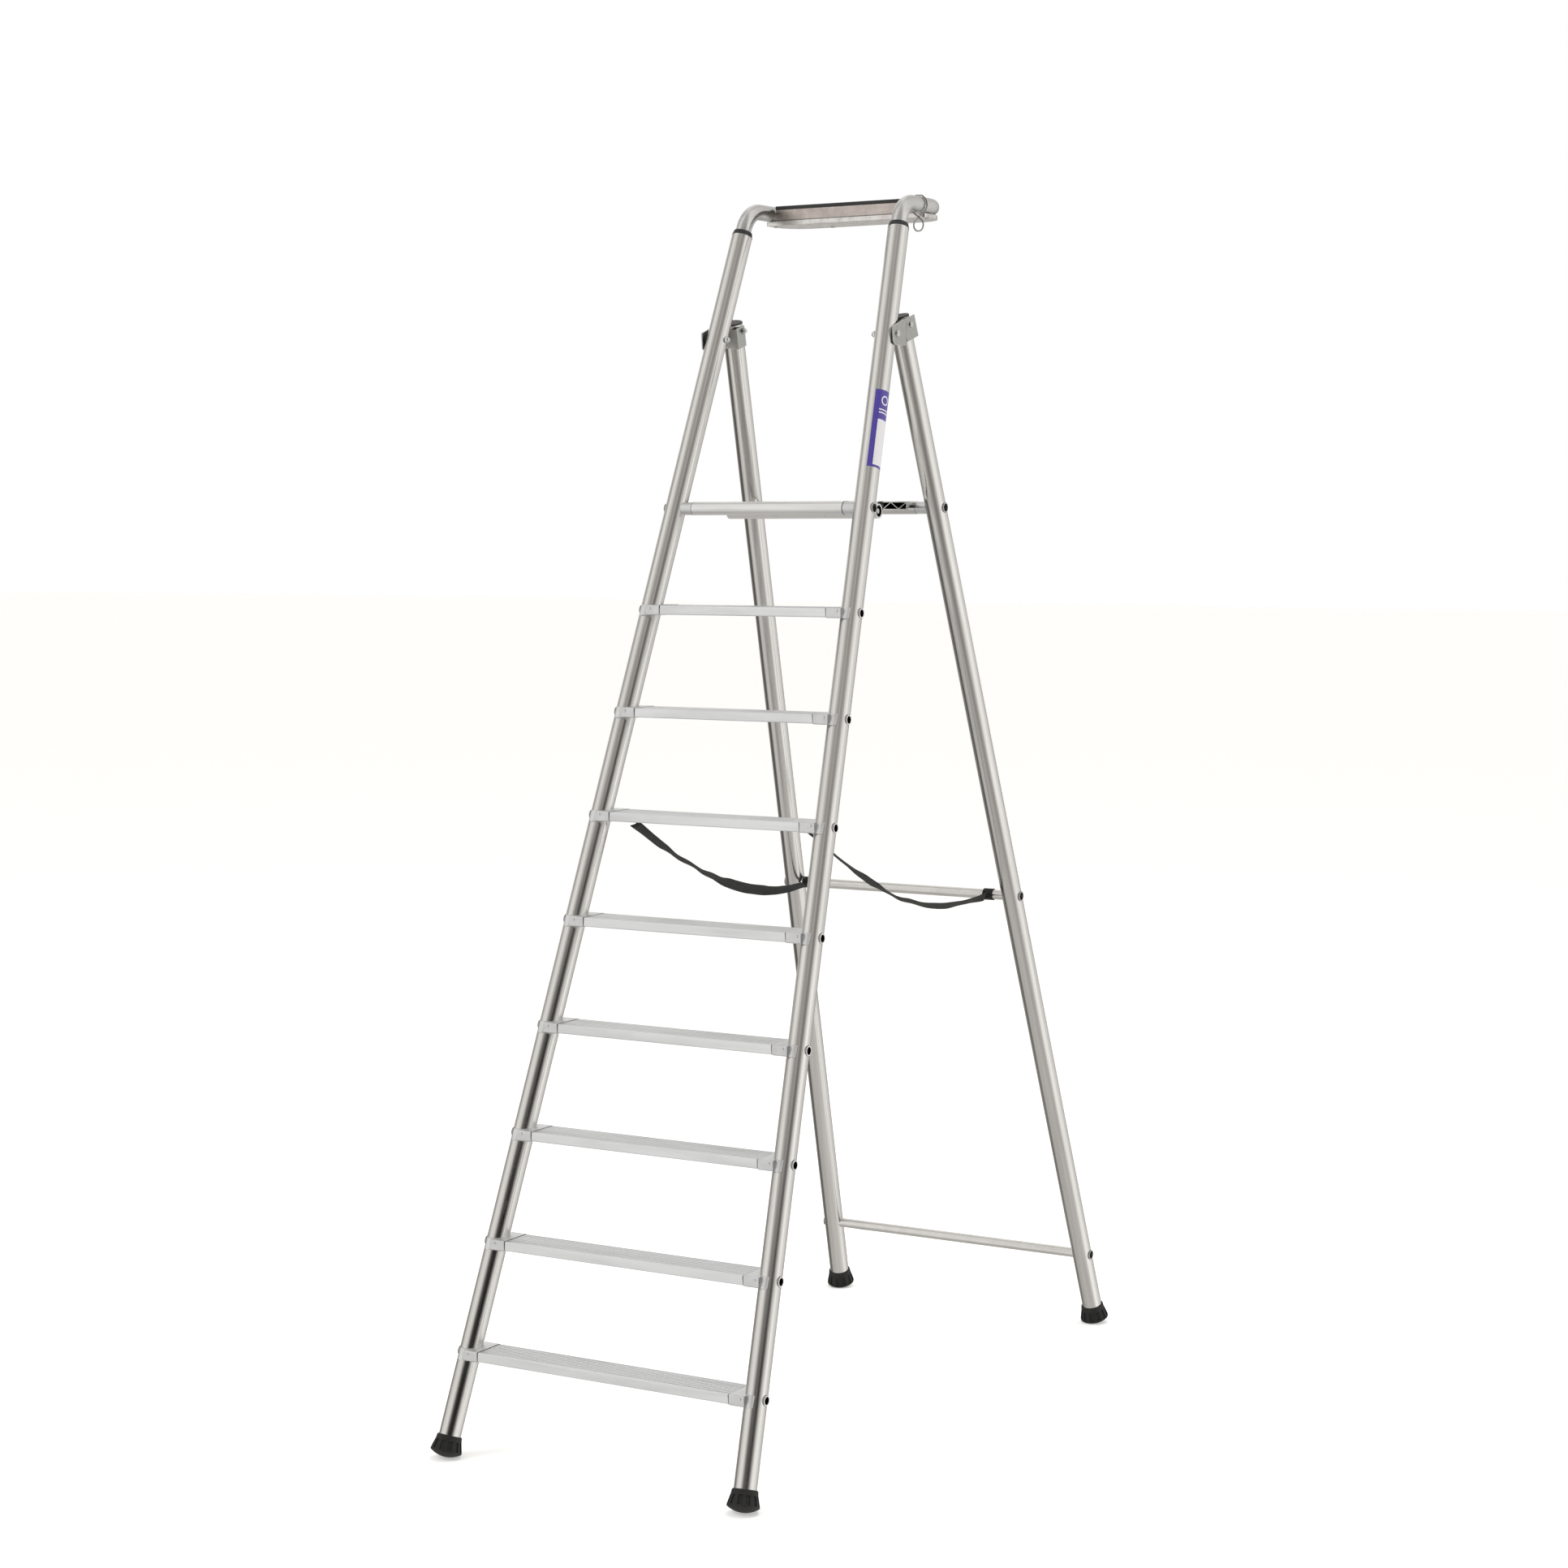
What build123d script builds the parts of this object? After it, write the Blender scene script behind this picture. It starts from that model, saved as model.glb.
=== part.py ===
from build123d import *
import math
import os

# Four-legged aluminium platform step ladder: a front frame with eight treads, a rear frame
# hinged behind it, a two-part folding platform between them and a guard rail with a tool tray.
# Millimetres. X runs across the ladder, the climber faces +Y, Z is up from the floor.
# Heights and depths are worked out from the line through the front feet, and the finished
# pieces are moved by -MID_DEPTH in Y, so that the origin is under the middle of the ladder.

# Frames: centre lines of the four legs, as straight lines in Z
MID_DEPTH = 901.493
TUBE_R = 25.0
TUBE_WALL = 2.0
FRONT_HALF = 391.2
FRONT_TAPER = 0.0633
FRONT_SLOPE = 0.3678
REAR_HALF = 382.2
REAR_TAPER = 0.0595
REAR_Y = 1801.4
REAR_SLOPE = 0.3126
STILE_TOP_Z = 2780.0
REAR_LEG_TOP_Z = 2570.5

# Treads and the tubes that tie the stiles together
TREAD_COUNT = 8
TREAD_PITCH = 237.0
FIRST_TREAD_Z = 226.0
TREAD_FRONT = 37.0
TREAD_REAR = 50.0
TREAD_BELOW = 9.0
TREAD_ABOVE = 12.5
TREAD_SKIN = 2.0
GROOVES = 7
GROOVE_PITCH = 11.5
CAP_REACH = 46.0
CAP_LIP = 9.0
CAP_GAP = 0.5
TIE_R = 9.0
TIE_WALL = 2.0
EYE_R = 12.3
EYE_BORE_R = 8.6
EYE_PROUD = 1.6
FIT = 0.1

# Rear crossbars
BAR_R = 12.2
BAR_WALL = 2.0
MID_BAR_Z = 1158.9
LOW_BAR_Z = 191.5

# Platform linkage in the YZ plane
PLATFORM_Z = 2124.0
MID_HINGE_Y = 944.0
MID_HINGE_Z = 2117.0
REAR_BAR_Z = 2125.0
PLATFORM_HALF = 205.5
PLATFORM_TOP = 2140.0
PLATFORM_BOTTOM = 2120.0
PLATFORM_SKIN = 2.0
WEB = 1.6
BEAD_R = 15.6
KNUCKLE_R = 17.5
KNUCKLE_EDGE = 68.5
PIN_R = 6.0
RUNNING = 0.05
SPACER_R = 15.0

# Rear frame hinge
PIVOT_Z = 2528.5
BRACKET_T = 3.0
CHEEK_X = 259.8
BOLT_R = 5.0
LEG_BOLT_Z = 2553.0
LEG_BOLT_R = 4.0

# Guard rail, tray and bucket hook
RAIL_R = 19.0
RAIL_WALL = 2.0
RAIL_Z = 2845.0
RAIL_REAR_Y = 1250.0
RAIL_BEND = 70.0
COLLAR_H = 12.0
TRAY_FRONT_Y = 1145.0
TRAY_REAR_Y = 1264.0
TRAY_HALF = 221.0
TRAY_Z = 2816.0
TRAY_SHEET = 1.5
TRAY_RIM = 9.5
FASCIA_TOP = 2858.0
HOOK_Y = 1131.0
HOOK_WIRE_R = 1.75
HOOK_R = 21.6

# Rubber feet
FOOT_DOME_R = 60.0
FOOT_DOME_SINK = 1.0
FOOT_RIM_R = 36.0
FOOT_TOP_R = 28.5
FOOT_HEIGHT = 52.0
FOOT_SEAT = 20.0
FOOT_RIBS = 12

# Webbing straps
STRAP_R = 3.5
STRAP_WIDTH = 26.0
LOOP_T = 2.0


def front_y(z):
    return FRONT_SLOPE * z


def front_half(z):
    return FRONT_HALF - FRONT_TAPER * z


def rear_y(z):
    return REAR_Y - REAR_SLOPE * z


def rear_half(z):
    return REAR_HALF - REAR_TAPER * z


def front_point(z):
    return Vector(front_half(z), front_y(z), z)


def rear_point(z):
    return Vector(rear_half(z), rear_y(z), z)


def along(start, end, distance):
    """The point at a distance from start on the way to end."""
    return start + (end - start).normalized() * distance


def rod(start, end, radius):
    start, end = Vector(start), Vector(end)
    plane = Plane(origin=start, z_dir=end - start)
    return extrude(plane * Circle(radius), amount=(end - start).length)


def x_rod(x0, x1, y, z, radius):
    return rod((x0, y, z), (x1, y, z), radius)


def block(x, y, z):
    size = (x[1] - x[0], y[1] - y[0], z[1] - z[0])
    middle = ((x[0] + x[1]) / 2, (y[0] + y[1]) / 2, (z[0] + z[1]) / 2)
    return Pos(*middle) * Box(*size)


def soften(shape, axis, radius):
    return fillet(shape.edges().filter_by(axis), radius)


def side_plate(outline, x0, x1):
    """A plate with a YZ outline between two values of X."""
    face = Plane.YZ.offset(x0) * make_face(Polyline(*outline, close=True))
    return extrude(face, amount=x1 - x0)


def left_of(shape):
    return shape.mirror(Plane.YZ)


def pair(shape):
    return [shape, left_of(shape)]


def save(name, shape):
    solids = shape if isinstance(shape, list) else [shape]
    solids = [s for part in solids for s in part.solids()]
    moved = [Pos(0, -MID_DEPTH, 0) * s for s in solids]
    whole = moved[0] if len(moved) == 1 else Compound(children=moved)
    export_step(whole, f"parts/{name}.step")


# Cross tubes with flared ends ---------------------------------------------------------------

def cross_tube(half, y, z, radius, wall):
    """A tube across the frame that passes through both legs and ends in a flared eye."""
    end = half + TUBE_R + EYE_PROUD
    eye = x_rod(end - 5.5, end, y, z, max(EYE_R, radius + 0.4))
    rim = [e for e in eye.edges().filter_by(GeomType.CIRCLE) if e.center().X > end - 0.1]
    eye = fillet(rim, 1.2)
    bore = x_rod(-end - 1, end + 1, y, z, radius - wall)
    mouth = x_rod(end - 4, end + 1, y, z, EYE_BORE_R)
    tube = x_rod(-end + 1, end - 1, y, z, radius)
    return tube + eye + left_of(eye) - bore - mouth - left_of(mouth)


def leg_holes(half, y, z, radius):
    """The two cuts that one leg needs for a cross tube and for its eye."""
    end = half + TUBE_R + 5
    through = x_rod(half - TUBE_R - 5, end, y, z, radius + FIT)
    seat = x_rod(half + TUBE_R + EYE_PROUD - 5.6, end, y, z, max(EYE_R, radius + 0.4) + FIT)
    return [through, seat]


def tube_between(start, end):
    bore_start, bore_end = along(start, end, -1), along(end, start, -1)
    return rod(start, end, TUBE_R) - rod(bore_start, bore_end, TUBE_R - TUBE_WALL)


def tread_heights():
    return [FIRST_TREAD_Z + TREAD_PITCH * i for i in range(TREAD_COUNT)]


# Front frame --------------------------------------------------------------------------------

def make_stile():
    foot, top = front_point(0), front_point(STILE_TOP_Z)
    stile = tube_between(along(foot, top, FOOT_SEAT), top)
    for z in tread_heights():
        stile -= leg_holes(front_half(z), front_y(z), z, TIE_R)
    stile -= leg_holes(front_half(PLATFORM_Z), front_y(PLATFORM_Z), PLATFORM_Z, BAR_R)
    half = front_half(PIVOT_Z)
    stile -= x_rod(half - 30, half + 30, front_y(PIVOT_Z), PIVOT_Z, BOLT_R + FIT)
    return stile


def make_tread(z):
    y, half = front_y(z), front_half(z) - CAP_REACH - CAP_GAP
    low, high = z - TREAD_BELOW, z + TREAD_ABOVE
    tread = block((-half, half), (y - TREAD_FRONT, y + TREAD_REAR), (low, high))
    tread = soften(tread, Axis.X, 2.5)
    across = (-half - 1, half + 1)
    inside = (low + TREAD_SKIN, high - TREAD_SKIN - 1)
    open_below = (low - 1, high - TREAD_SKIN - 1)
    rib = TIE_R + 1.5
    front_cavity = block(across, (y - TREAD_FRONT + TREAD_SKIN, y - rib - TREAD_SKIN), inside)
    rear_cavity = block(across, (y + rib + TREAD_SKIN, y + TREAD_REAR - TREAD_SKIN), inside)
    tread -= [front_cavity, rear_cavity, block(across, (y - rib, y + rib), open_below)]
    first = y - TREAD_FRONT + 8
    for i in range(GROOVES):
        groove = first + GROOVE_PITCH * i
        tread -= block(across, (groove, groove + 3), (high - 1.3, high + 1))
    return tread


def make_tread_cap(z):
    """The right-hand end cap: it closes the tread and wraps round the front of the stile."""
    y, half = front_y(z), front_half(z)
    low, high = z - TREAD_BELOW - 1.5, z + TREAD_ABOVE + 1
    inner = half - CAP_REACH
    body = block((inner, half - 8), (y - TREAD_FRONT - 0.8, y + TREAD_REAR + 0.5), (low, high))
    body = soften(body, Axis.X, 3)
    lip = rod(front_point(low - 20), front_point(high + 20), TUBE_R + 4.5)
    lip &= block((half - 12, half + CAP_LIP), (y - 45, y - 8), (low, high))
    stile = rod(front_point(low - 30), front_point(high + 30), TUBE_R + FIT)
    spigots = block(
        (inner - 12, inner + 1), (y - TREAD_FRONT + 3, y - TIE_R - 5), (z - 6, z + TREAD_ABOVE - 4)
    )
    spigots += block(
        (inner - 12, inner + 1), (y + TIE_R + 5, y + TREAD_REAR - 3), (z - 6, z + TREAD_ABOVE - 4)
    )
    tie = x_rod(inner - 20, half + 30, y, z, TIE_R + FIT)
    rivet = cap_rivet(z, FIT / 2)
    return body + lip + spigots - stile - tie - rivet


def cap_rivet(z, extra=0.0):
    """The small rivet on the front of a right-hand tread cap."""
    x, face = front_half(z) - 19, front_y(z) - TREAD_FRONT - 0.8
    shank = rod((x, face + 6, z + 6), (x, face - 0.5, z + 6), 1.6 + extra)
    if extra:
        return shank
    return shank + rod((x, face, z + 6), (x, face - 1.4, z + 6), 3.2)


def make_collar():
    """The black bush that centres the guard rail in the top of a stile."""
    top, above = front_point(STILE_TOP_Z), front_point(STILE_TOP_Z + 100)
    end = along(top, above, COLLAR_H)
    plane = Plane(origin=top, z_dir=above - top)
    ring = plane * Pos(0, 0, COLLAR_H / 2) * Cone(TUBE_R + 0.4, TUBE_R - 2.6, COLLAR_H)
    spigot = rod(along(top, above, -30), along(top, above, 1), TUBE_R - TUBE_WALL - FIT)
    bore = rod(along(top, above, -31), along(end, above, 1), RAIL_R + FIT)
    return ring + spigot - bore


def rail_corner():
    """Where a stile's centre line meets the height of the guard rail."""
    return front_point(RAIL_Z)


def make_handrail():
    start, corner = front_point(2690), rail_corner()
    rear = Vector(corner.X, RAIL_REAR_Y, RAIL_Z)
    right = [start, corner, rear]
    left = [Vector(-p.X, p.Y, p.Z) for p in reversed(right)]
    path = FilletPolyline(*right, *left, radius=RAIL_BEND)
    plane = Plane(origin=start, z_dir=corner - start)
    outer = sweep(plane * Circle(RAIL_R), path=path)
    inner = sweep(plane * Circle(RAIL_R - RAIL_WALL), path=path)
    return outer - inner


def tray_outline(inset):
    """The pan's outline: a rectangle with wide corners at the rear."""
    half = TRAY_HALF - inset
    front, rear = TRAY_FRONT_Y + inset, TRAY_REAR_Y - inset
    corners = [(half, front), (half, rear), (-half, rear), (-half, front)]
    radii = [8 - inset, 72 - inset, 72 - inset, 8 - inset]
    return make_face(FilletPolyline(*corners, radius=radii, close=True))


def tray_rivet_places():
    arm = rail_corner().X
    return [(arm, 1180), (-arm, 1180), (90, RAIL_REAR_Y), (-90, RAIL_REAR_Y)]


def make_tray():
    pan = extrude(Plane.XY.offset(TRAY_Z) * tray_outline(0), amount=TRAY_RIM)
    hollow = Plane.XY.offset(TRAY_Z + TRAY_SHEET) * tray_outline(TRAY_SHEET)
    pan -= extrude(hollow, amount=TRAY_RIM)
    half = rail_corner().X - RAIL_R - 0.5
    y = TRAY_FRONT_Y
    fascia = block((-half, half), (y, y + TRAY_SHEET), (TRAY_Z, FASCIA_TOP))
    tray = pan + fascia
    for x, y in tray_rivet_places():
        tray -= rod((x, y, TRAY_Z - 1), (x, y, TRAY_Z + 3), 3 + FIT)
    return tray


def make_tray_trim():
    half = rail_corner().X - RAIL_R - 0.7
    y, top = TRAY_FRONT_Y, FASCIA_TOP + 4.5
    trim = block((-half, half), (y - 2.5, y + TRAY_SHEET + 2.5), (FASCIA_TOP - 4.5, top))
    trim = soften(trim, Axis.X, 2)
    return trim - block((-half - 1, half + 1), (y - 0.1, y + TRAY_SHEET + 0.1), (0, FASCIA_TOP))


def make_tray_rivets():
    rail = [
        rod((0, RAIL_REAR_Y, RAIL_Z), (300, RAIL_REAR_Y, RAIL_Z), RAIL_R + 0.05),
        rod((rail_corner().X, 1000, RAIL_Z), (rail_corner().X, 1230, RAIL_Z), RAIL_R + 0.05),
    ]
    rivets = []
    for x, y in tray_rivet_places():
        head = rod((x, y, TRAY_Z - 1.8), (x, y, TRAY_Z), 6)
        shank = rod((x, y, TRAY_Z - 1), (x, y, RAIL_Z - RAIL_R + 1.5), 3)
        spacer = rod((x, y, TRAY_Z + TRAY_SHEET), (x, y, RAIL_Z - RAIL_R + 1.5), 5)
        rivet = head + shank + spacer
        for tube in rail:
            rivet -= tube
            rivet -= left_of(tube)
        rivets.append(rivet)
    return rivets


def make_bucket_hook():
    """One bent wire: a large loop over the right arm, crossing into a small loop below it."""
    x = rail_corner().X
    centre_z = RAIL_Z + RAIL_R + 0.6 - (HOOK_R - HOOK_WIRE_R)
    lead = 2.0
    corner_r = HOOK_R / math.cos(math.radians(20))

    def on_loop(angle, side):
        turn = math.radians(angle)
        reach = corner_r * math.cos(turn), corner_r * math.sin(turn)
        return Vector(x + reach[0], HOOK_Y + side, centre_z + reach[1])

    small = [(-13, -40), (-14, -52), (-7, -62.5), (7, -62.5), (14, -52), (13, -40)]
    points = [on_loop(a, lead) for a in (110, 70, 30, -10, -38)]
    for i, (dx, dz) in enumerate(small):
        side = lead * (1 - 2 * i / (len(small) - 1))
        points.append(Vector(x + dx, HOOK_Y + side, centre_z + dz))
    points += [on_loop(a, -lead) for a in (218, 190, 150, 110, 70)]
    points[0] = (points[0] + points[1]) * 0.5
    points[-1] = (points[-1] + points[-2]) * 0.5
    radii = []
    for a, b, c in zip(points, points[1:], points[2:]):
        turn = math.radians((b - a).get_angle(c - b))
        run = min((b - a).length, (c - b).length)
        radii.append(0.45 * run / math.tan(turn / 2))
    path = FilletPolyline(*points, radius=radii)
    plane = Plane(origin=points[0], z_dir=points[1] - points[0])
    return sweep(plane * Circle(HOOK_WIRE_R), path=path)


def make_label():
    """A thin sticker wrapped round the outer side of the right stile."""
    low, high = front_point(2212), front_point(2396)
    plane = Plane(origin=low, x_dir=(1, 0, 0), z_dir=high - low)
    length = (high - low).length
    ring = Circle(TUBE_R + 0.35) - Circle(TUBE_R + 0.03)
    wedge = make_face(Polyline((0, 0), (14, -60), (70, -60), (70, 30), close=True))
    return extrude(plane * (ring & wedge), amount=length)


# Feet ---------------------------------------------------------------------------------------

def make_foot(ground, above):
    """A ribbed rubber cup on a leg, with a domed tread that stands flat on the floor."""
    lean = (above - ground).normalized()
    centre = (FOOT_DOME_R - FOOT_DOME_SINK) / lean.Z
    rim = centre - math.sqrt(FOOT_DOME_R**2 - FOOT_RIM_R**2)
    mid = FOOT_RIM_R / 2
    mid_t = centre - math.sqrt(FOOT_DOME_R**2 - mid**2)
    with BuildLine() as outline:
        ThreePointArc((0, centre - FOOT_DOME_R), (mid, mid_t), (FOOT_RIM_R, rim))
        Polyline(
            (FOOT_RIM_R, rim), (FOOT_RIM_R - 0.5, rim + 4), (FOOT_TOP_R + 1.2, FOOT_HEIGHT - 11),
            (FOOT_TOP_R, FOOT_HEIGHT - 2), (FOOT_TOP_R - 2, FOOT_HEIGHT), (0, FOOT_HEIGHT),
            (0, centre - FOOT_DOME_R),
        )
    foot = revolve(Plane.XZ * make_face(outline.line), Axis.Z)
    foot -= Pos(0, 0, FOOT_SEAT + 50) * Cylinder(TUBE_R + FIT, 100)
    low, high = rim + 4, FOOT_HEIGHT - 12
    shell = make_face(
        Polyline((FOOT_RIM_R - 3.2, low), (60, low), (60, high), (FOOT_TOP_R - 1, high), close=True)
    )
    shell = revolve(Plane.XZ * shell, Axis.Z)
    for i in range(FOOT_RIBS):
        slot = Rot(0, 0, 360 / FOOT_RIBS * (i + 0.5)) * block((20, 60), (-5, 5), (low, high))
        foot -= shell & slot
    foot = Plane(origin=ground, x_dir=(1, 0, 0), z_dir=lean) * foot
    under = block((ground.X - 90, ground.X + 90), (ground.Y - 90, ground.Y + 90), (-60, 0))
    return foot - under


# Rear frame ---------------------------------------------------------------------------------

def make_rear_leg():
    foot, top = rear_point(0), rear_point(REAR_LEG_TOP_Z)
    leg = tube_between(along(foot, top, FOOT_SEAT), top)
    for z in (LOW_BAR_Z, MID_BAR_Z, REAR_BAR_Z):
        leg -= leg_holes(rear_half(z), rear_y(z), z, BAR_R)
    half = rear_half(LEG_BOLT_Z)
    leg -= x_rod(half - 30, half + 30, rear_y(LEG_BOLT_Z), LEG_BOLT_Z, LEG_BOLT_R + FIT)
    return leg


def make_leg_cap():
    top, above = rear_point(REAR_LEG_TOP_Z), rear_point(REAR_LEG_TOP_Z + 100)
    plane = Plane(origin=top, z_dir=above - top)
    lid = plane * Pos(0, 0, 2) * Cylinder(TUBE_R + 0.3, 4)
    rim = lid.edges().filter_by(GeomType.CIRCLE).sort_by(Axis.Z)[-1]
    lid = fillet(rim, 1.5)
    return lid + rod(along(top, above, -9), along(top, above, 1), TUBE_R - TUBE_WALL - FIT)


def rear_bar(z):
    return cross_tube(rear_half(z), rear_y(z), z, BAR_R, BAR_WALL)


def make_bracket():
    """A saddle round the top of the rear leg, with a joggled cheek beside the stile."""
    middle = rear_point(2543)
    plane = Plane(origin=middle, x_dir=(1, 0, 0), z_dir=rear_point(2600) - middle)
    inside, outside = TUBE_R + 0.3, TUBE_R + 0.3 + BRACKET_T
    outer_tab = plane * block((inside, outside), (-outside, 26), (-25, 27))
    web = plane * block((-outside, outside), (-outside, -inside), (-25, 22))
    inner_tab = plane * block((-outside, -inside), (-outside, 9), (-26, 24))
    cheek = side_plate(
        [(909, 2545), (912, 2508), (924, 2502), (968, 2502), (968, 2563), (955, 2561)],
        CHEEK_X, CHEEK_X + BRACKET_T,
    )
    cheek = soften(cheek, Axis.X, 4)
    x0, x1 = rear_half(2543) + inside, CHEEK_X
    joggle = [(x1, 958), (x1 + BRACKET_T, 961), (x0 + BRACKET_T, 984), (x0, 981)]
    joggle = extrude(Plane.XY.offset(2504) * make_face(Polyline(*joggle, close=True)), amount=59)
    leg_clear = rod(rear_point(2480), rear_point(2600), TUBE_R + 0.2)
    bracket = outer_tab + web + inner_tab + cheek + joggle - leg_clear
    bracket -= x_rod(200, 300, front_y(PIVOT_Z), PIVOT_Z, BOLT_R + RUNNING)
    half = rear_half(LEG_BOLT_Z)
    return bracket - x_rod(half - 40, half + 40, rear_y(LEG_BOLT_Z), LEG_BOLT_Z, LEG_BOLT_R + FIT)


def dome_head(x, direction, y, z, radius, height):
    """A domed head whose flat side is at x and whose top points along direction."""
    end = x + direction * height
    head = x_rod(min(x, end), max(x, end), y, z, radius)
    rim = [e for e in head.edges().filter_by(GeomType.CIRCLE) if abs(e.center().X - end) < 0.1]
    return fillet(rim, height * 0.75)


def make_pivot_bolt():
    y, half = front_y(PIVOT_Z), front_half(PIVOT_Z)
    face = CHEEK_X + BRACKET_T + 0.3
    shank = x_rod(half - TUBE_R - 7, face + 1, y, PIVOT_Z, BOLT_R)
    return shank + dome_head(face, 1, y, PIVOT_Z, 8.5, 5)


def make_pivot_nut():
    y, face = front_y(PIVOT_Z), front_half(PIVOT_Z) - TUBE_R - 0.9
    outline = Plane(origin=(face, y, PIVOT_Z), z_dir=(-1, 0, 0)) * RegularPolygon(8, 6)
    nut = extrude(outline, amount=5)
    nut += dome_head(face - 4.5, -1, y, PIVOT_Z, 6.5, 5)
    return nut - x_rod(face - 7.2, face + 1, y, PIVOT_Z, BOLT_R + 0.03)


def make_pivot_spacer():
    y = front_y(PIVOT_Z)
    start = front_half(PIVOT_Z)
    spacer = x_rod(start, CHEEK_X - 0.3, y, PIVOT_Z, 13)
    spacer -= rod(front_point(PIVOT_Z - 60), front_point(PIVOT_Z + 60), TUBE_R + FIT)
    return spacer - x_rod(start - 1, CHEEK_X + 1, y, PIVOT_Z, BOLT_R + FIT)


def make_leg_bolt():
    y, half = rear_y(LEG_BOLT_Z), rear_half(LEG_BOLT_Z)
    face = half + TUBE_R + 0.3 + BRACKET_T + 0.7
    shank = x_rod(half - TUBE_R - 9, face + 1, y, LEG_BOLT_Z, LEG_BOLT_R)
    return shank + dome_head(face, 1, y, LEG_BOLT_Z, 7, 4)


def make_leg_nut():
    y = rear_y(LEG_BOLT_Z)
    face = rear_half(LEG_BOLT_Z) - TUBE_R - 0.3 - BRACKET_T - 0.7
    outline = Plane(origin=(face, y, LEG_BOLT_Z), z_dir=(-1, 0, 0)) * RegularPolygon(7.5, 6)
    nut = extrude(outline, amount=5)
    nut += dome_head(face - 4.5, -1, y, LEG_BOLT_Z, 5.5, 5)
    return nut - x_rod(face - 6, face + 1, y, LEG_BOLT_Z, LEG_BOLT_R + 0.03)


# Folding platform ---------------------------------------------------------------------------

def diagonals(y0, y1, z0, z1, count):
    """The zigzag webs inside a hollow platform section."""
    webs = []
    step = (y1 - y0) / count
    for i in range(count):
        a, b = (y0 + step * i, y0 + step * (i + 1))
        za, zb = (z0, z1) if i % 2 == 0 else (z1, z0)
        web = side_plate(
            [(a, za - 1), (b, zb - 1), (b, zb + 1), (a, za + 1)], -PLATFORM_HALF, PLATFORM_HALF
        )
        webs.append(web & block((-300, 300), (y0, y1), (z0, z1)))
    return webs


def hollow_panel(y0, y1, cavity_y0, cavity_y1, count):
    """An extruded box section with grooves on top and webs inside."""
    across = (-PLATFORM_HALF, PLATFORM_HALF)
    wide = (-PLATFORM_HALF - 1, PLATFORM_HALF + 1)
    panel = block(across, (y0, y1), (PLATFORM_BOTTOM, PLATFORM_TOP))
    low, high = PLATFORM_BOTTOM + PLATFORM_SKIN, PLATFORM_TOP - PLATFORM_SKIN - 0.6
    panel -= block(wide, (cavity_y0, cavity_y1), (low, high))
    panel += diagonals(cavity_y0 - 0.5, cavity_y1 + 0.5, low - 0.3, high + 0.3, count)
    groove = cavity_y0 - 2
    while groove < cavity_y1:
        panel -= block(wide, (groove, groove + 3), (PLATFORM_TOP - 1, PLATFORM_TOP + 1))
        groove += 11
    return panel


def knuckle(x0, x1, side):
    """A hinge knuckle with the neck that joins it to its own panel on the given side."""
    body = x_rod(x0, x1, MID_HINGE_Y, MID_HINGE_Z, KNUCKLE_R)
    y0, y1 = sorted((MID_HINGE_Y + side * 6, MID_HINGE_Y + side * 20))
    return body + block((x0, x1), (y0, y1), (MID_HINGE_Z - 4, PLATFORM_TOP - PLATFORM_SKIN))


def knuckle_room(x0, x1):
    return x_rod(x0, x1, MID_HINGE_Y, MID_HINGE_Z, KNUCKLE_R + 0.8)


def pin_bore():
    return x_rod(-220, 220, MID_HINGE_Y, MID_HINGE_Z, PIN_R + RUNNING)


def make_platform_front():
    y = front_y(PLATFORM_Z)
    edge = MID_HINGE_Y - 19
    panel = hollow_panel(y, edge, y + 19, edge - 2, 4)
    skin_low = PLATFORM_TOP - PLATFORM_SKIN
    across = (-PLATFORM_HALF, PLATFORM_HALF)
    panel += block(across, (edge - 1, MID_HINGE_Y - 0.25), (skin_low, PLATFORM_TOP))
    panel += x_rod(*across, y, PLATFORM_Z, BEAD_R)
    for x0, x1 in ((-PLATFORM_HALF, -KNUCKLE_EDGE), (KNUCKLE_EDGE, PLATFORM_HALF)):
        panel += knuckle(x0, x1, -1)
        panel -= x_rod(x0, x1, MID_HINGE_Y, MID_HINGE_Z, PIN_R + RUNNING)
    panel -= knuckle_room(-KNUCKLE_EDGE + 0.6, KNUCKLE_EDGE - 0.6)
    recess = x_rod(PLATFORM_HALF - 6, PLATFORM_HALF + 1, MID_HINGE_Y, MID_HINGE_Z, 13.5)
    panel -= [recess, left_of(recess)]
    return panel - x_rod(-220, 220, y, PLATFORM_Z, BAR_R + RUNNING)


def make_platform_rear():
    y1 = rear_y(REAR_BAR_Z)
    edge = MID_HINGE_Y + 19
    panel = hollow_panel(edge, y1 - 11, edge + 2, y1 - 58, 3)
    skin_low = PLATFORM_TOP - PLATFORM_SKIN
    across = (-PLATFORM_HALF, PLATFORM_HALF)
    panel += block(across, (MID_HINGE_Y + 0.25, edge + 1), (skin_low, PLATFORM_TOP))
    panel += knuckle(-KNUCKLE_EDGE + 0.6, KNUCKLE_EDGE - 0.6, 1)
    for x0, x1 in ((-PLATFORM_HALF - 1, -KNUCKLE_EDGE), (KNUCKLE_EDGE, PLATFORM_HALF + 1)):
        panel -= knuckle_room(x0, x1)
    # The notch is the room that the rear bar's sleeve needs under the skin as the frame folds
    notch = [(-4.2, 16.6), (-33, 8.6), (-40, 4.6), (-52, -6), (-60, -12), (20, -12), (20, 16.6)]
    outline = [(y1 + dy, REAR_BAR_Z + dz) for dy, dz in notch]
    panel -= side_plate(outline, -220, 220)
    return panel - pin_bore()


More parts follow.
